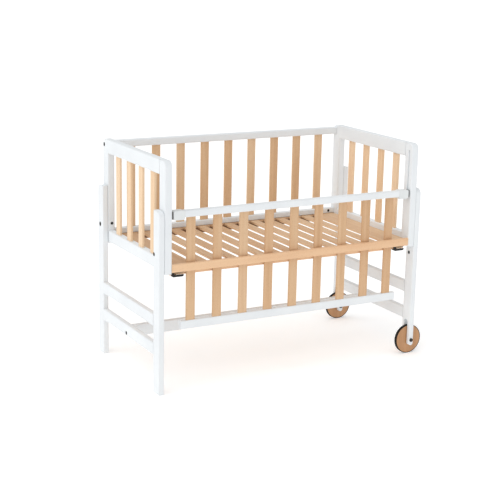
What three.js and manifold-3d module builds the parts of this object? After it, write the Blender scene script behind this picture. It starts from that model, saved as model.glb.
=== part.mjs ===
// Bedside cradle with a lowering front side, in millimetres.
// +X runs along the cradle to the wheeled end, +Y to the back, +Z up. The floor is z = 0, and the origin is
// the middle of the footprint of the whole object, wheels included.
import * as THREE from "three";
import { mergeVertices } from "three/addons/utils/BufferGeometryUtils.js";
import Module from "manifold-3d";

const wasm = await Module();
wasm.setup();

// Driving dimensions
const INNER_LENGTH = 920; // between the end panels, for a 900 mm mattress
const DEPTH = 514; // over the stiles, front to back
const END_TOP = 770.5; // top of the end panels
const DECK_TOP = 430; // the face that the mattress lies on
const TRAVEL = 150; // of the lowering side

// Fits and facets
const SEAM = 0.3; // between pieces that meet
const OVERRUN = 1; // by which a cutter passes the face that it cuts
const EDGE = 3; // rounding of the sawn edges
const SLAT_EDGE = 2.4; // rounding of a slat's edges
const FACET = 5; // length of a facet on a large corner
const EDGE_STEPS = 2; // facets on a rounded edge
const ROUND_SIDES = 24; // facets round a pin or bolt
const WHEEL_SIDES = 60; // facets round a wheel

// End panels
const STILE_X = 25;
const STILE_Y = 45;
const STILE_FOOT = 404; // height of the stiles' lower ends
const END_TOP_RAIL_Z = 48.5;
const END_FOOT_RAIL_Z = 40;
const END_FOOT_RAIL_BASE = 410; // underside of the lower rail
const END_CORNER = 20; // radius of the panels' upper corners
const END_SLATS = 4;
const END_SLAT_MARGIN = 53.5; // from a stile to the nearest slat
const END_SLAT_THICK = 9.5;
const END_SLAT_INSET = 7; // from the panel's outer face to the slats
const SLAT_WIDTH = 32;
const TENON = 8; // by which a slat enters its rail

// Leg frames, bolted outside the end panels
const LEG_X = 20;
const LEG_Y = 45;
const LEG_TOP = 610;
const LEG_CORNER = 20; // radius of a leg's outer upper corner
const CROSS_RAIL_Z = 40;
const MIDDLE_CROSS_BASE = 225;
const LOWER_CROSS_BASE = 127.5;
const STRETCHER_Y = 20;

// Wheels, forks and axles at the +X end
const WHEEL_RADIUS = 53;
const WHEEL_WIDTH = 12;
const TYRE_THICK = 2;
const WHEEL_CHAMFER = 0.8;
const HUB_RADIUS = 8; // of the boss that keeps a disc in the middle of its fork
const HUB_CLEAR = 0.5; // from the boss to each arm
const FORK_GAP = 20; // between a fork's arms
const FORK_ROOM = 21; // between the wheel and the top of the fork's slot
const FORK_ROUND = 6; // radius of the slot's upper corners
const ARM_BELOW_AXLE = 20; // from the axle to the tip of an arm
const ARM_TIP_ROUND = 9;
const AXLE_RADIUS = 4;
const AXLE_HEAD_RADIUS = 6.5;
const AXLE_HEAD_THICK = 3;

// Back panel, between the rear stiles
const LONG_RAIL_Y = 24;
const BACK_BELOW_TOP = 8.5; // from the end panels' top to the back's top rail
const BACK_TOP_RAIL_Z = 25;
const BACK_FOOT_RAIL_Z = 20;
const LONG_SLATS = 9;
const LONG_SLAT_MARGIN = 59.2; // from a stile to the nearest slat
const LONG_SLAT_THICK = 8;

// Lowering side
const DROP_BELOW_TOP = 13.5; // from the end panels' top to its top rail when it is raised
const DROP_TOP_RAIL_Z = 22;
const DROP_TOP_RAIL_SETBACK = 3; // from the stiles' front face
const DROP_FOOT_CLEAR = 39; // from a stile to its bottom rail
const DROP_FOOT_RAIL_Y = 18;
const DROP_FOOT_RAIL_Z = 28.5;
const DROP_SLAT_DEEP = 20; // from the stiles' front face to the middle of the slats
const DROP_FOOT_WALL = 3; // of wood in front of the slats
const CATCH_X = 39;
const CATCH_Y = 27;
const CATCH_Z = 30;
const CATCH_ABOVE_RAIL = 1;
const CATCH_CLEAR = 7; // from a catch to the stile beside it
const CATCH_ROUND = 4;
const PEG_RADIUS = 5; // of the peg that holds a catch in the top rail's end
const PEG_LENGTH = 10;
const PIN_RADIUS = 2.5; // of the guide pin that runs in a stile's groove
const PIN_REACH = 4.5; // of the pin in the groove
const GROOVE_DEPTH = 5;
const GROOVE_CLEAR = 0.5; // beside the pin

// Mattress base
const BASE_RAIL_Y = 14;
const BASE_RAIL_Z = 27;
const BASE_RAIL_ABOVE_DECK = 5;
const DECK_THICK = 8;
const DECK_EDGE = 1.5;
const DECK_END_CLEAR = 1; // from the deck to each end panel
const DECK_SLATS = 13;
const DECK_GAP = 23.3; // between two slats
const DECK_LEFT_BOARD = 83.8; // width of the end boards
const DECK_RIGHT_BOARD = 92;
const DECK_BEHIND_DROP = 2; // from the lowering side's slats to the deck
const BATTEN_SINK = 1; // by which the battens are let into the slats
const FRONT_BATTEN_Y = 22;
const REAR_BATTEN_Y = 30;
const REAR_BATTEN_Z = 10; // below the slats

// Black brackets that stop the lowering side and carry the deck's front corners
const BRACKET_X = 42;
const BRACKET_SHEET = 4;
const BRACKET_CLEAR = 7; // from a bracket to the stile beside it
const BRACKET_BELOW_RAIL = 18.7; // from the base rail's underside to the bracket's lower edge
const BRACKET_BEHIND_RAIL = 17; // height of the part that is screwed to the rail's rear face
const BRACKET_CORNER = 5; // radius of the lower corners
const BRACKET_NECK = 8; // width left beside the slot, which is open at the plate's +X side
const BRACKET_SLOT_Z = 7.5;
const BRACKET_SLOT_RISE = 6.5; // from the lower edge to the slot
const TONGUE_X = 15; // width of the tongue that carries the deck
const TONGUE_UNDER_DECK = 9; // by which it reaches under the deck

// Finishes
const paint = { color: 0xf1f1ee, roughness: 0.45, metalness: 0 };
const beech = { color: 0xdcb48a, roughness: 0.55, metalness: 0 };
const darkBeech = { color: 0xb9824e, roughness: 0.55, metalness: 0 };
const rubber = { color: 0x191919, roughness: 0.85, metalness: 0 };
const whitePlastic = { color: 0xf4f4f2, roughness: 0.4, metalness: 0 };
const blackSteel = { color: 0x1c1b1a, roughness: 0.5, metalness: 0.6 };

// Places that several pieces share
const stileInner = INNER_LENGTH / 2;
const stileOuter = stileInner + STILE_X;
const legInner = stileOuter + SEAM;
const legOuter = legInner + LEG_X;
const legMiddle = (legInner + legOuter) / 2;
const face = DEPTH / 2;
const stileMiddleY = face - STILE_Y / 2;
const legMiddleY = face - LEG_Y / 2;
const longRail = 2 * (stileInner - SEAM);
const stileRoom = DEPTH - 2 * STILE_Y;
const dropSlatY = DROP_SLAT_DEEP - face;
const baseRailTop = DECK_TOP + BASE_RAIL_ABOVE_DECK;
const bracketBase = baseRailTop - BASE_RAIL_Z - BRACKET_BELOW_RAIL;
const tongueTop = bracketBase + BRACKET_SHEET;
const deckFront = dropSlatY + LONG_SLAT_THICK / 2 + DECK_BEHIND_DROP;
const dropTop = END_TOP - DROP_BELOW_TOP - TRAVEL;
const dropFootTop = bracketBase - SEAM - TRAVEL;
const pinZ = dropTop + CATCH_ABOVE_RAIL - CATCH_Z / 2;
const SIDES = { left: -1, right: 1 };
const DEPTHS = { front: -1, rear: 1 };

// Which of x, y and z are an outline's width, its height and the way it is pushed
const AXES = "xyz";
const ORDER = { x: "yzx", y: "zxy", z: "xyz" };

function turned(geometry, axis) {
  const unit = {
    x: new THREE.Vector3(1, 0, 0),
    y: new THREE.Vector3(0, 1, 0),
    z: new THREE.Vector3(0, 0, 1),
  };
  const basis = [...ORDER[axis]].map((letter) => unit[letter]);
  return geometry.applyMatrix4(new THREE.Matrix4().makeBasis(...basis));
}

// A rectangle centred on zero. Its radii run anticlockwise from the corner where both sides are lowest, and
// a radius of zero leaves a corner square.
function outline(width, height, radii) {
  const corners = [[-1, -1], [1, -1], [1, 1], [-1, 1]];
  const points = corners.flatMap(([right, up], index) => {
    const radius = radii[index];
    const x = right * (width / 2 - radius);
    const y = up * (height / 2 - radius);
    if (radius === 0) return [new THREE.Vector2(x, y)];
    const steps = Math.max(EDGE_STEPS, Math.round(radius / FACET));
    return Array.from({ length: steps + 1 }, (_, step) => {
      const angle = Math.PI + ((index + step / steps) * Math.PI) / 2;
      return new THREE.Vector2(x + radius * Math.cos(angle), y + radius * Math.sin(angle));
    });
  });
  return new THREE.Shape(points);
}

// An outline pushed along an axis, centred on zero, with both its faces' edges rounded by the bevel
function pushed(shape, axis, length, bevel = 0) {
  const geometry = new THREE.ExtrudeGeometry(shape, {
    depth: length - 2 * bevel,
    bevelEnabled: bevel > 0,
    bevelThickness: bevel,
    bevelSize: bevel,
    bevelOffset: -bevel,
    bevelSegments: EDGE_STEPS,
  });
  return turned(geometry.translate(0, 0, bevel - length / 2), axis);
}

// A straight bar of size [x, y, z] whose long edges, along the axis, are rounded
function bar(axis, size, edge = EDGE) {
  const [width, height, length] = [...ORDER[axis]].map((letter) => size[AXES.indexOf(letter)]);
  return pushed(outline(width, height, [edge, edge, edge, edge]), axis, length);
}

// An upright board with one large upper corner, on the side of +Y or, for toward = -1, of -Y
function board(size, corner, toward) {
  const radii = toward > 0 ? [0, 0, corner, 0] : [0, 0, 0, corner];
  return pushed(outline(size[1], size[2], radii), "x", size[0], EDGE);
}

function rod(axis, radius, length) {
  const geometry = new THREE.CylinderGeometry(radius, radius, length, ROUND_SIDES);
  return axis === "x" ? geometry.rotateZ(-Math.PI / 2) : geometry;
}

function solidOf(geometry, offset = [0, 0, 0]) {
  const bare = geometry.clone().translate(...offset);
  bare.deleteAttribute("normal");
  bare.deleteAttribute("uv");
  const merged = mergeVertices(bare);
  const mesh = new wasm.Mesh({
    numProp: 3,
    vertProperties: merged.attributes.position.array,
    triVerts: new Uint32Array(merged.index.array),
  });
  return new wasm.Manifold(mesh);
}

function geometryOf(solid) {
  const mesh = solid.getMesh();
  const geometry = new THREE.BufferGeometry();
  geometry.setAttribute("position", new THREE.BufferAttribute(mesh.vertProperties, mesh.numProp));
  geometry.setIndex(new THREE.BufferAttribute(mesh.triVerts, 1));
  geometry.computeVertexNormals();
  return geometry;
}

// Cuts tools out of, or joins them to, a geometry drawn round its own place; each tool is a pair of a
// geometry and the place of its middle
function combined(geometry, place, tools, how) {
  const start = solidOf(geometry);
  const solid = tools.reduce((made, [tool, at]) => {
    const offset = at.map((value, axis) => value - place[axis]);
    return made[how](solidOf(tool, offset));
  }, start);
  return geometryOf(solid);
}

const cut = (geometry, place, tools) => combined(geometry, place, tools, "subtract");
const joined = (geometry, place, tools) => combined(geometry, place, tools, "add");

function addPiece(parent, name, geometry, place, finish) {
  const piece = new THREE.Mesh(geometry, new THREE.MeshStandardMaterial(finish));
  piece.name = name;
  piece.position.set(...place);
  parent.add(piece);
}

// Two rails with a row of slats let into them. The row runs along x or y in the plane given, over its span,
// with its margin left free at both ends. Each rail is its size and the place of its middle, and bores are
// further cuts in the top rail.
function slattedPanel(parent, name, along, plane, row, topRail, footRail, bores = []) {
  const put = (offset, z) => (along === "x" ? [offset, plane, z] : [plane, offset, z]);
  const section = (width, thick, height) => (along === "x" ? [width, thick, height] : [thick, width, height]);
  const pitch = (row.span - 2 * row.margin - SLAT_WIDTH) / (row.count - 1);
  const offsets = Array.from({ length: row.count }, (_, index) => (index - (row.count - 1) / 2) * pitch);
  const topFace = topRail.place[2] - topRail.size[2] / 2;
  const footFace = footRail.place[2] + footRail.size[2] / 2;
  const pocket = TENON + SEAM + OVERRUN;
  const pocketShift = pocket / 2 - OVERRUN;
  const pocketSize = section(SLAT_WIDTH + 2 * SEAM, row.thick + 2 * SEAM, pocket);
  const pocketsAt = (z) => offsets.map((offset) => [new THREE.BoxGeometry(...pocketSize), put(offset, z)]);
  const topCuts = [...pocketsAt(topFace + pocketShift), ...bores];
  const footCuts = pocketsAt(footFace - pocketShift);
  const rails = { top: [topRail, topCuts], foot: [footRail, footCuts] };
  for (const [level, [rail, cuts]] of Object.entries(rails)) {
    const bored = cut(bar(along, rail.size), rail.place, cuts);
    addPiece(parent, `${name}_${level}_rail`, bored, rail.place, paint);
  }
  const slatSize = section(SLAT_WIDTH, row.thick, topFace - footFace + 2 * TENON);
  offsets.forEach((offset, index) => {
    const place = put(offset, (topFace + footFace) / 2);
    addPiece(parent, `${name}_slat_${index + 1}`, bar("z", slatSize, SLAT_EDGE), place, beech);
  });
}

// End panel: two stiles, two rails and four slats. The front stile has the groove of the lowering side.
function endPanel(parent, name, side) {
  const middleX = side * (stileInner + STILE_X / 2);
  const size = [STILE_X, STILE_Y, END_TOP - STILE_FOOT];
  for (const [depth, toward] of Object.entries(DEPTHS)) {
    const place = [middleX, toward * stileMiddleY, (END_TOP + STILE_FOOT) / 2];
    const whole = board(size, END_CORNER, toward);
    const stile = depth === "front" ? cut(whole, place, [groove(side)]) : whole;
    addPiece(parent, `${name}_${depth}_stile`, stile, place, paint);
  }
  const railY = stileRoom - 2 * SEAM;
  const topRail = {
    size: [STILE_X, railY, END_TOP_RAIL_Z],
    place: [middleX, 0, END_TOP - END_TOP_RAIL_Z / 2],
  };
  const footRail = {
    size: [STILE_X, railY, END_FOOT_RAIL_Z],
    place: [middleX, 0, END_FOOT_RAIL_BASE + END_FOOT_RAIL_Z / 2],
  };
  const plane = side * (stileOuter - END_SLAT_INSET - END_SLAT_THICK / 2);
  const row = { count: END_SLATS, span: stileRoom, margin: END_SLAT_MARGIN, thick: END_SLAT_THICK };
  slattedPanel(parent, `${name}_end`, "y", plane, row, topRail, footRail);
}

// The cutter of the groove that a guide pin runs in; its lower end is where the lowering side rests
function groove(side) {
  const width = 2 * (PIN_RADIUS + GROOVE_CLEAR);
  const height = TRAVEL + 2 * (PIN_RADIUS + SEAM);
  const x = side * (stileInner + (GROOVE_DEPTH - OVERRUN) / 2);
  return [new THREE.BoxGeometry(GROOVE_DEPTH + OVERRUN, width, height), [x, dropSlatY, pinZ + TRAVEL / 2]];
}

function plainLeg(toward) {
  const size = [LEG_X, LEG_Y, LEG_TOP];
  return { geometry: board(size, LEG_CORNER, toward), middleZ: LEG_TOP / 2 };
}

// A leg whose lower end is a fork with rounded arms, bored for the axle
function forkLeg(toward) {
  const tip = WHEEL_RADIUS - ARM_BELOW_AXLE;
  const slotTop = 2 * WHEEL_RADIUS + FORK_ROOM;
  const slotBase = tip - OVERRUN;
  const size = [LEG_X, LEG_Y, LEG_TOP - tip];
  const middleZ = (LEG_TOP + tip) / 2;
  const radii = [ARM_TIP_ROUND, 0, 0, ARM_TIP_ROUND];
  const tipShape = pushed(outline(size[2], LEG_X, radii), "y", LEG_Y);
  const leg = combined(board(size, LEG_CORNER, toward), [0, 0, 0], [[tipShape, [0, 0, 0]]], "intersect");
  const slotShape = outline(FORK_GAP, slotTop - slotBase, [0, 0, FORK_ROUND, FORK_ROUND]);
  const slotAt = [0, 0, (slotTop + slotBase) / 2 - middleZ];
  const slot = [pushed(slotShape, "x", LEG_X + 2 * OVERRUN), slotAt];
  const bore = [rod("y", AXLE_RADIUS + SEAM, LEG_Y + 2 * OVERRUN), [0, 0, WHEEL_RADIUS - middleZ]];
  return { geometry: cut(leg, [0, 0, 0], [slot, bore]), middleZ };
}

// Leg frame: two legs and two cross rails in one plane, outside an end panel
function legFrame(parent, name, side, makeLeg) {
  for (const [depth, toward] of Object.entries(DEPTHS)) {
    const leg = makeLeg(toward);
    const place = [side * legMiddle, toward * legMiddleY, leg.middleZ];
    addPiece(parent, `${name}_${depth}_leg`, leg.geometry, place, paint);
  }
  const railSize = [LEG_X, DEPTH - 2 * LEG_Y - 2 * SEAM, CROSS_RAIL_Z];
  const bases = { middle: MIDDLE_CROSS_BASE, lower: LOWER_CROSS_BASE };
  for (const [level, base] of Object.entries(bases)) {
    const place = [side * legMiddle, 0, base + CROSS_RAIL_Z / 2];
    addPiece(parent, `${name}_${level}_cross_rail`, bar("y", railSize), place, paint);
  }
}

function floorStretcher(parent) {
  const size = [2 * (legInner - SEAM), STRETCHER_Y, CROSS_RAIL_Z];
  addPiece(parent, "floor_stretcher", bar("x", size), [0, 0, LOWER_CROSS_BASE + CROSS_RAIL_Z / 2], paint);
}

function backPanel(parent) {
  const middleY = face - LONG_RAIL_Y / 2;
  const footRailTop = DECK_TOP + BACK_FOOT_RAIL_Z;
  const topRail = {
    size: [longRail, LONG_RAIL_Y, BACK_TOP_RAIL_Z],
    place: [0, middleY, END_TOP - BACK_BELOW_TOP - BACK_TOP_RAIL_Z / 2],
  };
  const footRail = {
    size: [longRail, LONG_RAIL_Y, BACK_FOOT_RAIL_Z],
    place: [0, middleY, footRailTop - BACK_FOOT_RAIL_Z / 2],
  };
  const row = { count: LONG_SLATS, span: INNER_LENGTH, margin: LONG_SLAT_MARGIN, thick: LONG_SLAT_THICK };
  slattedPanel(parent, "back", "x", middleY, row, topRail, footRail);
}

// Lowering side, drawn at rest in its lower place: two rails, nine slats and a catch at each end
function loweringSide(parent) {
  const catchInner = stileInner - CATCH_CLEAR - CATCH_X;
  const topRailY = DROP_TOP_RAIL_SETBACK + LONG_RAIL_Y / 2 - face;
  const footRailY = dropSlatY - LONG_SLAT_THICK / 2 - DROP_FOOT_WALL + DROP_FOOT_RAIL_Y / 2;
  const topRail = {
    size: [2 * (catchInner - SEAM), LONG_RAIL_Y, DROP_TOP_RAIL_Z],
    place: [0, topRailY, dropTop - DROP_TOP_RAIL_Z / 2],
  };
  const footRail = {
    size: [INNER_LENGTH - 2 * DROP_FOOT_CLEAR, DROP_FOOT_RAIL_Y, DROP_FOOT_RAIL_Z],
    place: [0, footRailY, dropFootTop - DROP_FOOT_RAIL_Z / 2],
  };
  const row = { count: LONG_SLATS, span: INNER_LENGTH, margin: LONG_SLAT_MARGIN, thick: LONG_SLAT_THICK };
  const boreLength = PEG_LENGTH + SEAM + OVERRUN;
  const bores = Object.values(SIDES).map((side) => {
    const x = side * (catchInner - SEAM + OVERRUN - boreLength / 2);
    return [rod("x", PEG_RADIUS + SEAM, boreLength), [x, topRailY, topRail.place[2]]];
  });
  slattedPanel(parent, "drop", "x", dropSlatY, row, topRail, footRail, bores);
  for (const [name, side] of Object.entries(SIDES)) {
    const place = [side * (catchInner + CATCH_X / 2), DROP_TOP_RAIL_SETBACK + CATCH_Y / 2 - face, pinZ];
    const pinLength = CATCH_CLEAR + PIN_REACH + OVERRUN;
    const pinX = side * (catchInner + CATCH_X - OVERRUN + pinLength / 2);
    const pegX = side * (catchInner + OVERRUN - (PEG_LENGTH + OVERRUN) / 2);
    const body = bar("y", [CATCH_X, CATCH_Y, CATCH_Z], CATCH_ROUND);
    const fitted = joined(body, place, [
      [rod("x", PIN_RADIUS, pinLength), [pinX, dropSlatY, pinZ]],
      [rod("x", PEG_RADIUS, PEG_LENGTH + OVERRUN), [pegX, topRailY, topRail.place[2]]],
    ]);
    addPiece(parent, `drop_${name}_catch`, fitted, place, whitePlastic);
  }
}

// Mattress base: a front and a rear rail, and a deck of slats and end boards on two battens
function mattressBase(parent) {
  const railSize = [longRail, BASE_RAIL_Y, BASE_RAIL_Z];
  const backInner = face - LONG_RAIL_Y;
  const rails = {
    front: [BASE_RAIL_Y / 2 - face, baseRailTop],
    rear: [backInner + BASE_RAIL_Y / 2, DECK_TOP - SEAM],
  };
  for (const [depth, [y, top]] of Object.entries(rails)) {
    addPiece(parent, `base_${depth}_rail`, bar("x", railSize), [0, y, top - BASE_RAIL_Z / 2], beech);
  }

  const rear = backInner - SEAM;
  const end = stileInner - DECK_END_CLEAR;
  const place = [0, (deckFront + rear) / 2, DECK_TOP - DECK_THICK / 2];
  const slatsFrom = DECK_LEFT_BOARD - end;
  const slatsTo = end - DECK_RIGHT_BOARD;
  const pitch = (slatsTo - slatsFrom - DECK_GAP) / DECK_SLATS;
  const strip = (from, to) => [
    bar("y", [to - from, rear - deckFront, DECK_THICK], DECK_EDGE),
    [(from + to) / 2, place[1], place[2]],
  ];
  const strips = Array.from({ length: DECK_SLATS }, (_, index) => {
    return strip(slatsFrom + DECK_GAP + index * pitch, slatsFrom + (index + 1) * pitch);
  });
  const leftBoard = strip(-end, slatsFrom);
  const rightBoard = strip(slatsTo, end);

  const underside = DECK_TOP - DECK_THICK;
  const battenTop = underside + BATTEN_SINK;
  const battenEnd = end - DECK_EDGE;
  const batten = (from, to, base) => [
    new THREE.BoxGeometry(2 * battenEnd, to - from, battenTop - base),
    [0, (from + to) / 2, (battenTop + base) / 2],
  ];
  const frontBatten = batten(deckFront, deckFront + FRONT_BATTEN_Y, tongueTop + SEAM);
  const rearBatten = batten(rear - REAR_BATTEN_Y, rear, underside - REAR_BATTEN_Z);
  const [firstBatten, firstPlace] = frontBatten;
  const tools = [...strips, leftBoard, rightBoard, rearBatten];
  addPiece(parent, "slat_deck", joined(firstBatten, firstPlace, tools), firstPlace, beech);
}

// A steel bracket: a plate behind the front rail, slotted from its +X side, and a tongue under the deck
function stopBracket(parent, name, side) {
  const middleX = side * (stileInner - BRACKET_CLEAR - BRACKET_X / 2);
  const lowX = middleX - BRACKET_X / 2;
  const plateFront = BASE_RAIL_Y + SEAM - face;
  const height = BRACKET_BELOW_RAIL + BRACKET_BEHIND_RAIL;
  const place = [middleX, plateFront + BRACKET_SHEET / 2, bracketBase + height / 2];
  const radii = [BRACKET_CORNER, 0, 0, BRACKET_CORNER];
  const plate = pushed(outline(height, BRACKET_X, radii), "y", BRACKET_SHEET);
  const tongueLength = deckFront + TONGUE_UNDER_DECK - plateFront;
  const tongue = new THREE.BoxGeometry(TONGUE_X, tongueLength, BRACKET_SHEET);
  const tongueX = lowX + BRACKET_CORNER + TONGUE_X / 2;
  const tongueAt = [tongueX, plateFront + tongueLength / 2, bracketBase + BRACKET_SHEET / 2];
  const folded = joined(plate, place, [[tongue, tongueAt]]);
  const slotLength = BRACKET_X - BRACKET_NECK + OVERRUN;
  const slot = new THREE.BoxGeometry(slotLength, BRACKET_SHEET + 2 * OVERRUN, BRACKET_SLOT_Z);
  const slotX = lowX + BRACKET_NECK + slotLength / 2;
  const slotAt = [slotX, place[1], bracketBase + BRACKET_SLOT_RISE + BRACKET_SLOT_Z / 2];
  addPiece(parent, `${name}_stop_bracket`, cut(folded, place, [[slot, slotAt]]), place, blackSteel);
}

// A ring turned round y, chamfered on its outer edges
function ring(inner, outer, width, chamfer) {
  const half = width / 2;
  const profile = [
    [inner, -half],
    [outer - chamfer, -half],
    [outer, chamfer - half],
    [outer, half - chamfer],
    [outer - chamfer, half],
    [inner, half],
    [inner, -half],
  ];
  return new THREE.LatheGeometry(profile.map(([radius, y]) => new THREE.Vector2(radius, y)), WHEEL_SIDES);
}

// Wheel: a wooden disc and a rubber tyre that turn on an axle bolt, which is fixed in the fork's arms
function wheel(parent, name, toward) {
  const centre = new THREE.Group();
  centre.position.set(legMiddle, toward * legMiddleY, WHEEL_RADIUS);
  parent.add(centre);
  const discRadius = WHEEL_RADIUS - TYRE_THICK - SEAM;
  const bore = AXLE_RADIUS + SEAM;
  const hub = ring(bore, HUB_RADIUS, FORK_GAP - 2 * HUB_CLEAR, WHEEL_CHAMFER);
  const web = ring(bore, discRadius, WHEEL_WIDTH, WHEEL_CHAMFER);
  const disc = joined(web, [0, 0, 0], [[hub, [0, 0, 0]]]);
  const tyre = ring(discRadius + SEAM, WHEEL_RADIUS, WHEEL_WIDTH, WHEEL_CHAMFER);
  addPiece(centre, `${name}_wheel_disc`, disc, [0, 0, 0], darkBeech);
  addPiece(centre, `${name}_wheel_tyre`, tyre, [0, 0, 0], rubber);
  const headY = LEG_Y / 2 + SEAM + AXLE_HEAD_THICK / 2;
  const heads = [-headY, headY].map((y) => [rod("y", AXLE_HEAD_RADIUS, AXLE_HEAD_THICK), [0, y, 0]]);
  const axle = joined(rod("y", AXLE_RADIUS, 2 * headY), [0, 0, 0], heads);
  addPiece(centre, `${name}_axle_bolt`, axle, [0, 0, 0], blackSteel);
}

const footprintLeft = -legOuter;
const footprintRight = legMiddle + WHEEL_RADIUS;
const cradle = new THREE.Group();
cradle.position.x = -(footprintLeft + footprintRight) / 2;

const dropSide = new THREE.Group();
cradle.add(dropSide);
loweringSide(dropSide);

endPanel(cradle, "left", SIDES.left);
endPanel(cradle, "right", SIDES.right);
legFrame(cradle, "left", SIDES.left, plainLeg);
legFrame(cradle, "right", SIDES.right, forkLeg);
floorStretcher(cradle);
backPanel(cradle);
mattressBase(cradle);
for (const [name, side] of Object.entries(SIDES)) stopBracket(cradle, name, side);
for (const [name, toward] of Object.entries(DEPTHS)) wheel(cradle, name, toward);

export default cradle;
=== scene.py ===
"""Looks of a bedside cradle in white painted wood and clear beech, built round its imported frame. In metres.

The origin is the middle of the footprint on the floor, +X runs to the wheeled end, +Y to the back, +Z up.
"""
import math
import random

import bmesh
import bpy
from mathutils import Matrix, Vector


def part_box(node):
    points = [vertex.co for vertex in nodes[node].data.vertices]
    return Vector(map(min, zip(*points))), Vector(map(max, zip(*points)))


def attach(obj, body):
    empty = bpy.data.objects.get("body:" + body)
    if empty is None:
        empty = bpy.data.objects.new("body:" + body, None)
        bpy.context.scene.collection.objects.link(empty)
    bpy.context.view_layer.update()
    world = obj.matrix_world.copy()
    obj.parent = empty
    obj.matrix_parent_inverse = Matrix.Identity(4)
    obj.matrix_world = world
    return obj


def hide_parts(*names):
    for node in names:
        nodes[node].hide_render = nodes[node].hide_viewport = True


MM = 0.001
SEED = 7

# Camera: the photograph's own angle
CAMERA_PLACE = (-2.0974, -3.6881, 1.4291)
CAMERA_YAW = math.radians(28.951)
CAMERA_PITCH = math.radians(13.936)
CAMERA_ROLL = math.radians(1.244)
CAMERA_REACH = 200
LENS = 88.58
SENSOR = 36

# Light: an even white room, and one wide soft lamp from above the left end
ROOM_STRENGTH = 0.72
LAMP_STRENGTH = 1
LAMP_FROM = (-0.59, -0.14, 0.79)
LAMP_WIDTH = math.radians(70)
FLOOR_SPAN = 60
FLOOR_GLOW = 0.24

# Shading of roundings
SHARP = math.radians(50)  # faces that meet at less are shaded as one rounding
WELD_REACH = 0.01 * MM
LARGE_FACE_WEIGHT = 100  # where 50 is neutral: the larger faces set the shading of an edge
BOX_EDGE_STEPS = 2  # facets on a box's edge
ROUND_PROFILE = 0.5
EDGE_SAMPLES = 6
FLAT_MATCH = 0.97  # of the true normal with a softened one, where a face counts as flat
EDGE_MATCH = 0.8  # and where it counts as an edge

# Patterns, in features per metre. A pair is across the grain and along it.
PAINT_CLOUDS = 9
PAINT_STROKES = (650, 9)
PAINT_SKIN = 1400
PAINT_CHIPS = 70
BEECH_CLOUDS = 6
BEECH_BANDS = (42, 1.6)
BEECH_FIBRES = (900, 16)
BEECH_RAYS = (620, 120)
RUBBER_SKIN = 900
RUBBER_DUST = 60
PLASTIC_SKIN = 1100
PLASTIC_CLOUDS = 30
STEEL_SKIN = 1300
STEEL_CLOUDS = 90

# Shifts of the patterns, in features, so that they don't line up
PAINT_SHIFT = (3, 1, 4)
RUBBER_SHIFT = (5, 2, 0)
BEECH_SHIFT = 40  # at most, drawn for each beech

# Relief of each finish, and the widest rounding whose edge it wears
PAINT_RELIEF = 0.05 * MM
BEECH_RELIEF = 0.06 * MM
RUBBER_RELIEF = 0.08 * MM
PLASTIC_RELIEF = 0.03 * MM
STEEL_RELIEF = 0.04 * MM
PAINT_EDGE = 3.5 * MM
BEECH_EDGE = 2 * MM
PLASTIC_EDGE = 1.5 * MM
STEEL_EDGE = 0.8 * MM

# Light and dark tones of the beech, three pairs for each group of boards
FRONT_TONES = [("#debb95", "#cfa67d"), ("#dab48d", "#caa077"), ("#e1c09b", "#d4ad86")]
BACK_TONES = [("#e6c6a2", "#d9b38b"), ("#e2c09a", "#d5ad84"), ("#e9cba8", "#ddb992")]
END_TONES = [("#f1d4b1", "#e8c49d"), ("#eecfaa", "#e3bd95"), ("#f3d8b7", "#eac9a4")]

# Mattress base: slats and end boards that lie across two battens
DECK_THICK = 8 * MM
DECK_EDGE = 1.6 * MM
DECK_SLATS = 13
DECK_GAP = 23.3 * MM
DECK_LEFT_BOARD = 83.8 * MM
DECK_RIGHT_BOARD = 92 * MM
FRONT_BATTEN_Y = 22 * MM
REAR_BATTEN_Y = 30 * MM
REAR_BATTEN_Z = 10 * MM  # below the slats
BATTEN_EDGE = 1 * MM
BATTEN_END = 1.5 * MM  # from the boards' ends to the battens'

# Furniture bolts: black heads let into the wood. Each has its node, the face that it is let into, its place
# along the other two axes and its radius. A place is measured from the node's lowest corner, or where it is
# negative from its highest one.
BOLT_SINK = 0.6 * MM
BOLT_THICK = 3 * MM
BOLT_CHAMFER = 0.7 * MM
BOLT_ROOM = 0.5 * MM  # round a head in its bore
SOCKET_SHARE = 0.52  # of a head's radius
SOCKET_DEEP = 2.2 * MM
BOLT_SIDES = 24
BOLTS = [
    ("left_rear_stile", "-x", (-12 * MM, -21 * MM), 7 * MM),
    ("left_rear_leg", "-x", (-20 * MM, -139 * MM), 8 * MM),
    ("left_rear_stile", "-y", (14 * MM, 71 * MM), 5 * MM),
    ("left_front_leg", "-x", (-4.5 * MM, -144 * MM), 7 * MM),
    ("left_lower_cross_rail", "-x", (220.7 * MM, 10 * MM), 6.5 * MM),
    ("right_rear_stile", "+x", (-12 * MM, -21 * MM), 7 * MM),
    ("right_rear_leg", "+x", (-20 * MM, -139 * MM), 8 * MM),
    ("right_front_leg", "+x", (-4.5 * MM, -144 * MM), 7 * MM),
    ("right_lower_cross_rail", "+x", (220.7 * MM, 10 * MM), 6.5 * MM),
    ("right_front_leg", "-x", (27 * MM, -235 * MM), 6 * MM),
    ("back_foot_rail", "-y", (-24.5 * MM, -10.4 * MM), 5 * MM),
]

# Dark pads that guide the catches along the stiles
PAD_X = 6.5 * MM
PAD_Y = 17 * MM
PAD_EDGE = 1.5 * MM
PAD_CLEAR = 0.3 * MM  # from a stile
PAD_BEHIND_FACE = 3 * MM  # of the catch
PAD_ABOVE_FOOT = 3 * MM
PAD_BELOW_TOP = 1.5 * MM

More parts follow.
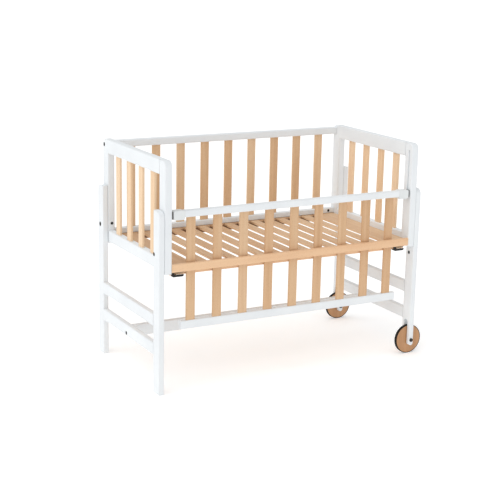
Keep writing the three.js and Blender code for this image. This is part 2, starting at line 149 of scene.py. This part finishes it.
random.seed(SEED)
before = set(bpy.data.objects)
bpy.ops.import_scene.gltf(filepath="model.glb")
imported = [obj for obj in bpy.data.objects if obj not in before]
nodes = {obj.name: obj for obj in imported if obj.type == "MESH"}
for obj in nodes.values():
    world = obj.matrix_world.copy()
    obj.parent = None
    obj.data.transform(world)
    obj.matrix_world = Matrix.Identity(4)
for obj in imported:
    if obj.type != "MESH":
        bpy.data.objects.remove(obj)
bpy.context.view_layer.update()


def linear(code):
    """A hex colour as linear red, green, blue and alpha, by the sRGB curve."""
    channels = [int(code[i : i + 2], 16) / 255 for i in (1, 3, 5)]
    return [c / 12.92 if c <= 0.04045 else ((c + 0.055) / 1.055) ** 2.4 for c in channels] + [1]


def even(scale):
    """The same scale along x, y and z."""
    return [scale] * 3


def along(grain, across, lengthwise):
    """Scales for x, y and z that stretch a pattern along the grain."""
    return [lengthwise if axis == grain else across for axis in "xyz"]


class Shader:
    """A node material under construction: put() adds a node, and the other methods return a socket."""

    def __init__(self, name):
        self.material = bpy.data.materials.new(name)
        self.material.use_nodes = True
        self.tree = self.material.node_tree
        self.tree.nodes.clear()

    def put(self, kind, inputs, **settings):
        """Adds a node. An input is a socket, a hex colour or a plain value."""
        node = self.tree.nodes.new("ShaderNode" + kind)
        for key, value in settings.items():
            setattr(node, key, value)
        for socket, value in inputs.items():
            if isinstance(value, bpy.types.NodeSocket):
                self.tree.links.new(value, node.inputs[socket])
            else:
                node.inputs[socket].default_value = linear(value) if isinstance(value, str) else value
        return node

    def place(self, scales, shift=(0, 0, 0)):
        """Object coordinates, which are the row frame's, scaled along each axis."""
        where = self.put("TexCoord", {}).outputs["Object"]
        return self.put("Mapping", {"Vector": where, "Scale": scales, "Location": shift}).outputs[0]

    def noise(self, vector, detail=2, rough=0.5, distortion=0):
        inputs = {"Vector": vector, "Scale": 1, "Detail": detail, "Roughness": rough}
        return self.put("TexNoise", inputs | {"Distortion": distortion}).outputs["Fac"]

    def specks(self, vector):
        """The distance to the nearest of many scattered points."""
        return self.put("TexVoronoi", {"Vector": vector, "Scale": 1}).outputs["Distance"]

    def spread(self, value, low=0.3, high=0.7, to_low=0, to_high=1):
        """A value from low to high mapped, and clamped, from to_low to to_high."""
        inputs = {"Value": value, "From Min": low, "From Max": high, "To Min": to_low, "To Max": to_high}
        return self.put("MapRange", inputs).outputs[0]

    def plus(self, a, b):
        return self.put("Math", {0: a, 1: b}, operation="ADD").outputs[0]

    def times(self, a, b):
        return self.put("Math", {0: a, 1: b}, operation="MULTIPLY").outputs[0]

    def mix(self, share, a, b):
        return self.put("Mix", {0: share, 6: a, 7: b}, data_type="RGBA").outputs[2]

    def edge(self, radius):
        """1 on edges rounded tighter than the radius, 0 on flat faces."""
        soft = self.put("Bevel", {"Radius": radius}, samples=EDGE_SAMPLES).outputs[0]
        hard = self.put("NewGeometry", {}).outputs["True Normal"]
        match = self.put("VectorMath", {0: soft, 1: hard}, operation="DOT_PRODUCT").outputs["Value"]
        return self.spread(match, FLAT_MATCH, EDGE_MATCH)

    def bump(self, height, relief):
        return self.put("Bump", {"Height": height, "Distance": relief, "Strength": 1}).outputs[0]

    def finish(self, inputs):
        """Ends the material in one surface, and returns it."""
        shader = self.put("BsdfPrincipled", inputs).outputs[0]
        self.put("OutputMaterial", {"Surface": shader})
        return self.material


def painted(name, grain, base, cloudy, streak, worn):
    """Satin white paint on wood: the grain telegraphs faintly, and the edges are a little worn."""
    s = Shader(name)
    clouds = s.noise(s.place(even(PAINT_CLOUDS), PAINT_SHIFT), detail=3)
    strokes = s.noise(s.place(along(grain, *PAINT_STROKES)), detail=3, rough=0.6)
    skin = s.noise(s.place(even(PAINT_SKIN)), detail=1)
    chips = s.spread(s.noise(s.place(even(PAINT_CHIPS)), detail=4), low=0.45)
    tone = s.mix(s.spread(clouds), base, cloudy)
    tone = s.mix(s.spread(strokes, low=0.35, high=0.8, to_high=0.22), tone, streak)
    tone = s.mix(s.times(s.times(s.edge(PAINT_EDGE), chips), 0.5), tone, worn)
    height = s.plus(strokes, s.times(skin, 0.35))
    gloss = s.plus(clouds, s.times(strokes, 0.5))
    return s.finish({
        "Base Color": tone, "Roughness": s.spread(gloss, low=0.5, high=1, to_low=0.36, to_high=0.5),
        "Normal": s.bump(height, PAINT_RELIEF), "Specular IOR Level": 0.45,
    })


def beech(name, grain, light, dark, fleck="#8c5a37", shine=0.4):
    """Clear lacquered beech: soft growth bands, fine fibres and the short dark flecks of its rays."""
    s = Shader(name)
    shift = [random.uniform(0, BEECH_SHIFT) for _ in "xyz"]
    bands = s.noise(s.place(along(grain, *BEECH_BANDS), shift), detail=3, rough=0.55, distortion=0.9)
    fibres = s.noise(s.place(along(grain, *BEECH_FIBRES), shift), detail=4, rough=0.6)
    clouds = s.noise(s.place(even(BEECH_CLOUDS), shift))
    flecks = s.spread(s.specks(s.place(along(grain, *BEECH_RAYS), shift)), low=0.26, high=0.1)
    tone = s.mix(s.spread(bands, low=0.38, high=0.66), light, dark)
    tone = s.mix(s.spread(fibres, high=0.75, to_high=0.45), tone, dark)
    tone = s.mix(s.spread(clouds, to_high=0.35), tone, light)
    tone = s.mix(s.times(flecks, 0.4), tone, fleck)
    tone = s.mix(s.times(s.edge(BEECH_EDGE), 0.3), tone, dark)
    height = s.plus(fibres, s.times(flecks, -0.6))
    return s.finish({
        "Base Color": tone, "Roughness": s.spread(fibres, to_low=shine, to_high=shine + 0.14),
        "Normal": s.bump(height, BEECH_RELIEF), "Specular IOR Level": 0.4,
    })


def rubber(name, base, dusty):
    """Matt rubber with a little dust."""
    s = Shader(name)
    skin = s.noise(s.place(even(RUBBER_SKIN)), detail=3, rough=0.6)
    dust = s.noise(s.place(even(RUBBER_DUST), RUBBER_SHIFT), detail=4, rough=0.6)
    return s.finish({
        "Base Color": s.mix(s.spread(dust, low=0.45, high=0.75, to_high=0.5), base, dusty),
        "Roughness": s.spread(dust, to_low=0.62, to_high=0.85),
        "Normal": s.bump(skin, RUBBER_RELIEF), "Specular IOR Level": 0.35,
    })


def moulded(name, base, cloudy, worn="#d5d8d9"):
    """Plastic with the fine grain of its mould, lighter on its edges."""
    s = Shader(name)
    skin = s.noise(s.place(even(PLASTIC_SKIN)))
    clouds = s.noise(s.place(even(PLASTIC_CLOUDS)))
    tone = s.mix(s.spread(clouds), base, cloudy)
    return s.finish({
        "Base Color": s.mix(s.times(s.edge(PLASTIC_EDGE), 0.25), tone, worn),
        "Roughness": s.spread(clouds, to_low=0.34, to_high=0.44),
        "Normal": s.bump(skin, PLASTIC_RELIEF),
    })


def steel(name, base, cloudy, worn):
    """Coated steel, rubbed bare in places on its edges."""
    s = Shader(name)
    skin = s.noise(s.place(even(STEEL_SKIN)))
    clouds = s.noise(s.place(even(STEEL_CLOUDS)), detail=4, rough=0.6)
    rubbed = s.times(s.edge(STEEL_EDGE), s.spread(clouds, low=0.4))
    tone = s.mix(s.spread(clouds), base, cloudy)
    return s.finish({
        "Base Color": s.mix(s.times(rubbed, 0.6), tone, worn),
        "Roughness": s.spread(clouds, to_low=0.4, to_high=0.58), "Metallic": 0.35,
        "Normal": s.bump(skin, STEEL_RELIEF),
    })


def beeches(group, grain, tones):
    """A beech for each pair of tones, so that the boards of a group differ."""
    return [beech(f"beech_{group}_{index}", grain, *pair) for index, pair in enumerate(tones)]


# Finishes
PAINT_TONES = ("#ecf0f2", "#e6eaed", "#e0e4e8", "#e0ddd6")
paint = {grain: painted(f"white_paint_{grain}", grain, *PAINT_TONES) for grain in "xyz"}
front_beech = beeches("front", "z", FRONT_TONES)
back_beech = beeches("back", "z", BACK_TONES)
end_beech = beeches("end", "z", END_TONES)
deck_beech = beeches("deck", "y", FRONT_TONES)
rail_beech = beech("beech_rail", "x", "#f0cba4", "#e5ba92")
# Painted shade: a dark beech for the rear batten, standing for the shade under the deck that shows through
# the gaps between the slats
painted_shade_beech = beech("beech_painted_shade", "x", "#7a5233", "#624127", "#442b19")
wheel_beech = beech("beech_wheel", "z", "#c6976d", "#b3845c", "#744e32", shine=0.35)
tyre_rubber = rubber("tyre_rubber_looks", "#0b0a09", "#191715")
catch_plastic = moulded("white_plastic_looks", "#e5e8e8", "#dde1e2")
black_steel = steel("black_steel_looks", "#1d1b1a", "#262321", "#5a5652")
pad_plastic = moulded("dark_plastic_looks", "#6a6968", "#5d5c5b")


def finish_of(name):
    """The finish of a node, from its name."""
    if "_slat_" in name:
        choices = {"back": back_beech, "drop": front_beech}.get(name.split("_")[0], end_beech)
        return random.choice(choices)
    if name.startswith("base_"):
        return rail_beech
    if name.endswith("wheel_disc"):
        return wheel_beech
    if name.endswith("wheel_tyre"):
        return tyre_rubber
    if name.endswith("catch"):
        return catch_plastic
    if "bracket" in name or "bolt" in name:
        return black_steel
    if "stile" in name or "leg" in name:
        return paint["z"]
    if "end_" in name or "cross" in name:
        return paint["y"]
    return paint["x"]


def bolt_seat(node, facing, offsets):
    """The place of a bolt on its node's face, turned so that +Z is the way that it faces."""
    low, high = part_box(node)
    toward = 1 if facing[0] == "+" else -1
    across = "xyz".index(facing[1])
    centre = (high if toward > 0 else low).copy()
    others = [axis for axis in range(3) if axis != across]
    for axis, offset in zip(others, offsets):
        centre[axis] = (high if offset < 0 else low)[axis] + offset
    outward = Vector([toward if axis == across else 0 for axis in range(3)])
    return Matrix.Translation(centre) @ outward.to_track_quat("Z", "Y").to_matrix().to_4x4()


def bore_cutter(node, facing, offsets, radius):
    """A hidden cylinder that bores the seat of a bolt's head."""
    made = bmesh.new()
    deep = BOLT_SINK + BOLT_THICK + BOLT_ROOM
    above = 2 * BOLT_ROOM
    bmesh.ops.create_cone(
        made, cap_ends=True, segments=BOLT_SIDES, depth=deep + above,
        radius1=radius + BOLT_ROOM, radius2=radius + BOLT_ROOM,
        matrix=bolt_seat(node, facing, offsets) @ Matrix.Translation((0, 0, (above - deep) / 2)))
    mesh = bpy.data.meshes.new("bore")
    made.to_mesh(mesh)
    made.free()
    cutter = bpy.data.objects.new("bore", mesh)
    bpy.context.scene.collection.objects.link(cutter)
    cutter.hide_render = True
    cutter.hide_viewport = True
    return cutter


def smooth_roundings(piece, bolts=()):
    """Shades the facets of a rounding as one surface, keeps flat faces flat, and bores the seats of bolts."""
    weld = piece.modifiers.new("weld", "WELD")
    weld.merge_threshold = WELD_REACH
    for bolt in bolts:
        bore = piece.modifiers.new("bore", "BOOLEAN")
        bore.operation = "DIFFERENCE"
        bore.solver = "EXACT"
        bore.object = bore_cutter(*bolt)
    split = piece.modifiers.new("split", "EDGE_SPLIT")
    split.split_angle = SHARP
    split.use_edge_sharp = False
    weighted = piece.modifiers.new("weighted", "WEIGHTED_NORMAL")
    weighted.weight = LARGE_FACE_WEIGHT
    piece.data.shade_smooth()


def dress_frame():
    """Gives each node of the frame its finish, smooth roundings and the bores of its bolts."""
    for name, piece in sorted(nodes.items()):
        piece.data.attributes.remove(piece.data.attributes["custom_normal"])
        smooth_roundings(piece, [bolt for bolt in BOLTS if bolt[0] == name])
        material = finish_of(name)
        for slot in piece.material_slots:
            slot.material = material


def new_piece(name, mesh_maker, material, body="frame"):
    """A mesh made by mesh_maker(bmesh), which rides on a body."""
    mesh = bpy.data.meshes.new(name)
    made = bmesh.new()
    mesh_maker(made)
    bmesh.ops.recalc_face_normals(made, faces=made.faces)
    made.to_mesh(mesh)
    made.free()
    mesh.materials.append(material)
    piece = bpy.data.objects.new(name, mesh)
    bpy.context.scene.collection.objects.link(piece)
    smooth_roundings(piece)
    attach(piece, body)
    return piece


def add_box(made, low, high, edge):
    """A box between two corners, with rounded edges."""
    low, high = Vector(low), Vector(high)
    start = bmesh.new()
    bmesh.ops.create_cube(start, size=1)
    bmesh.ops.scale(start, vec=high - low, verts=start.verts)
    bmesh.ops.translate(start, vec=(high + low) / 2, verts=start.verts)
    bmesh.ops.bevel(
        start, geom=start.edges, offset=edge, segments=BOX_EDGE_STEPS, affect="EDGES", profile=ROUND_PROFILE)
    mesh = bpy.data.meshes.new("part")
    start.to_mesh(mesh)
    start.free()
    made.from_mesh(mesh)
    bpy.data.meshes.remove(mesh)


def build_deck():
    """The slats, end boards and battens of the mattress base, each a board with its own grain."""
    low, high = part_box("slat_deck")
    slats_from = low[0] + DECK_LEFT_BOARD
    slats_to = high[0] - DECK_RIGHT_BOARD
    pitch = (slats_to - slats_from - DECK_GAP) / DECK_SLATS
    boards = {"deck_left_board": (low[0], slats_from), "deck_right_board": (slats_to, high[0])}
    for index in range(DECK_SLATS):
        start = slats_from + index * pitch
        boards[f"deck_slat_{index + 1}"] = (start + DECK_GAP, start + pitch)
    underside = high[2] - DECK_THICK
    for name, (start, end) in boards.items():
        corners = ((start, low[1], underside), (end, high[1], high[2]))
        finish = random.choice(deck_beech)
        board = new_piece(name, lambda made: add_box(made, *corners, DECK_EDGE), finish)
        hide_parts("slat_deck")
    battens = {
        "front": (low[1], low[1] + FRONT_BATTEN_Y, low[2], rail_beech),
        # the rear batten's dark beech is painted shade
        "rear": (high[1] - REAR_BATTEN_Y, high[1], underside - REAR_BATTEN_Z, painted_shade_beech),
    }
    for name, (start, end, base, finish) in battens.items():
        corners = ((low[0] + BATTEN_END, start, base), (high[0] - BATTEN_END, end, underside))
        batten = new_piece(
            f"deck_{name}_batten", lambda made: add_box(made, *corners, BATTEN_EDGE), finish)
        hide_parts("slat_deck")


def bolt_head(made, node, facing, offsets, radius):
    """A round head with a hexagonal socket, drawn ring by ring from its underside in."""
    angles = [2 * math.pi * side / BOLT_SIDES for side in range(BOLT_SIDES)]
    sixth = math.pi / 3
    flat = SOCKET_SHARE * radius * math.cos(sixth / 2)
    hexagon = [flat / math.cos(angle % sixth - sixth / 2) for angle in angles]
    plain = [(radius, -BOLT_THICK), (radius, -BOLT_CHAMFER), (radius - BOLT_CHAMFER, 0)]
    outlines = [([reach] * BOLT_SIDES, z) for reach, z in plain] + [(hexagon, 0), (hexagon, -SOCKET_DEEP)]
    place = bolt_seat(node, facing, offsets) @ Matrix.Translation((0, 0, -BOLT_SINK))
    rings = []
    for reaches, z in outlines:
        points = [(reach * math.cos(a), reach * math.sin(a), z) for reach, a in zip(reaches, angles)]
        rings.append([made.verts.new(place @ Vector(point)) for point in points])
    for lower, upper in zip(rings, rings[1:]):
        for side in range(BOLT_SIDES):
            after = (side + 1) % BOLT_SIDES
            made.faces.new((lower[side], lower[after], upper[after], upper[side]))
    made.faces.new(rings[0][::-1])
    made.faces.new(rings[-1])


def build_bolts():
    """The heads of the furniture bolts, each in its bore."""
    for index, bolt in enumerate(BOLTS):
        name = f"{bolt[0]}_bolt_{index + 1}"
        new_piece(name, lambda made: bolt_head(made, *bolt), black_steel)


def build_pads():
    """The pads beside the catches, which slide with the lowering side."""
    for side, toward in (("left", -1), ("right", 1)):
        low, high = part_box(f"drop_{side}_catch")
        stile_low, stile_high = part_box(f"{side}_front_stile")
        inner = stile_high[0] if toward < 0 else stile_low[0]
        near = inner - toward * PAD_CLEAR
        start, end = sorted((near, near - toward * PAD_X))
        front = low[1] + PAD_BEHIND_FACE
        base = low[2] + PAD_ABOVE_FOOT
        top = high[2] - PAD_BELOW_TOP
        corners = ((start, front, base), (end, front + PAD_Y, top))
        new_piece(
            f"drop_{side}_guide_pad", lambda made: add_box(made, *corners, PAD_EDGE), pad_plastic,
            "drop_side")


def build_camera():
    """The camera, turned by its yaw, its pitch and then its roll."""
    data = bpy.data.cameras.new("camera")
    data.lens = LENS
    data.sensor_width = SENSOR
    data.sensor_fit = "HORIZONTAL"
    data.clip_end = CAMERA_REACH
    camera = bpy.data.objects.new("camera", data)
    bpy.context.scene.collection.objects.link(camera)
    ahead = Vector((
        math.sin(CAMERA_YAW) * math.cos(CAMERA_PITCH),
        math.cos(CAMERA_YAW) * math.cos(CAMERA_PITCH),
        -math.sin(CAMERA_PITCH),
    ))
    level = Vector((math.cos(CAMERA_YAW), -math.sin(CAMERA_YAW), 0))
    upright = level.cross(ahead)
    right = math.cos(CAMERA_ROLL) * level + math.sin(CAMERA_ROLL) * upright
    up = -math.sin(CAMERA_ROLL) * level + math.cos(CAMERA_ROLL) * upright
    turn = Matrix((right, up, -ahead)).transposed().to_4x4()
    camera.matrix_world = Matrix.Translation(CAMERA_PLACE) @ turn
    bpy.context.scene.camera = camera


def build_light():
    """The even light of the room, and the lamp."""
    scene = bpy.context.scene
    scene.view_settings.view_transform = "Standard"
    world = bpy.data.worlds.new("room")
    world.use_nodes = True
    background = world.node_tree.nodes["Background"]
    background.inputs["Color"].default_value = (1, 1, 1, 1)
    background.inputs["Strength"].default_value = ROOM_STRENGTH
    scene.world = world
    data = bpy.data.lights.new("lamp", "SUN")
    data.energy = LAMP_STRENGTH
    data.angle = LAMP_WIDTH
    lamp = bpy.data.objects.new("lamp", data)
    lamp.rotation_mode = "QUATERNION"
    lamp.rotation_quaternion = Vector(LAMP_FROM).to_track_quat("Z", "Y")
    scene.collection.objects.link(lamp)


def build_floor():
    """A wide pale floor that glows a little."""
    half = FLOOR_SPAN / 2
    corners = [(-half, -half, 0), (half, -half, 0), (half, half, 0), (-half, half, 0)]
    mesh = bpy.data.meshes.new("floor")
    mesh.from_pydata(corners, [], [(0, 1, 2, 3)])
    floor = bpy.data.objects.new("floor", mesh)
    mesh.materials.append(Shader("floor").finish({
        "Base Color": (0.96, 0.96, 0.96, 1), "Roughness": 0.9, "Specular IOR Level": 0,
        "Emission Color": (1, 1, 1, 1), "Emission Strength": FLOOR_GLOW,
    }))
    bpy.context.scene.collection.objects.link(floor)


dress_frame()
build_deck()
build_bolts()
build_pads()
build_camera()
build_light()
build_floor()
